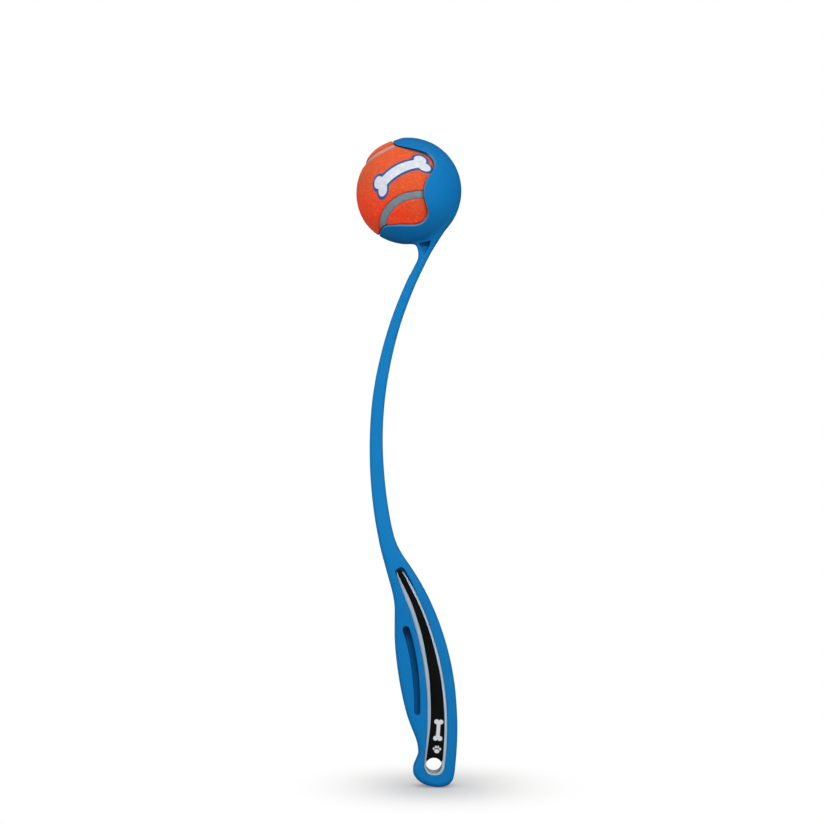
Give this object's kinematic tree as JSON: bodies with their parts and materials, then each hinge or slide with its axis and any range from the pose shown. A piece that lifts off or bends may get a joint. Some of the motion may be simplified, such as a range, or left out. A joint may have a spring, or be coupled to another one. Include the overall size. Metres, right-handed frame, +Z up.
{
  "type": "dog ball thrower",
  "caption": "Hand-held dog ball thrower: a curved moulded wand with an open snap-in ball cup, a flat grip with silver and black inserts and a hang hole, and a felt ball in the cup.",
  "frame": {"origin": "middle of the grip, on the mid-plane, where the hand closes around it", "axes": "+Z up along the wand to the cup, the cup's mouth faces -X (8 degrees above it), +Y across the thickness"},
  "size_m": [0.0534, 0.0528, 0.3377],
  "materials": {
    "thrower_plastic": "satin injection-moulded blue",
    "bezel_silver": "silver paint on moulded plastic",
    "strip_black": "satin black",
    "ball_rubber": "matt natural rubber",
    "felt_orange": "napped felt",
    "seam_grey": "matt rubber cement"
  },
  "bodies": {
    "thrower": {"thrower_body": "thrower_plastic", "grip_bezel_left": "bezel_silver", "grip_bezel_right": "bezel_silver", "grip_inlay_left": "strip_black", "grip_inlay_right": "strip_black"},
    "ball": {"ball_core_half_a": "ball_rubber", "ball_core_half_b": "ball_rubber", "ball_felt_panel_a": "felt_orange", "ball_felt_panel_b": "felt_orange", "ball_seam": "seam_grey"}
  },
  "joints": [
    {"name": "ball_release", "type": "slide", "parent": "thrower", "child": "ball", "axis": [-0.9903, 0, 0.1392], "range_m": [0, 0.06], "deforming": ["ball_felt_panel_a", "ball_felt_panel_b", "ball_seam"]}
  ]
}
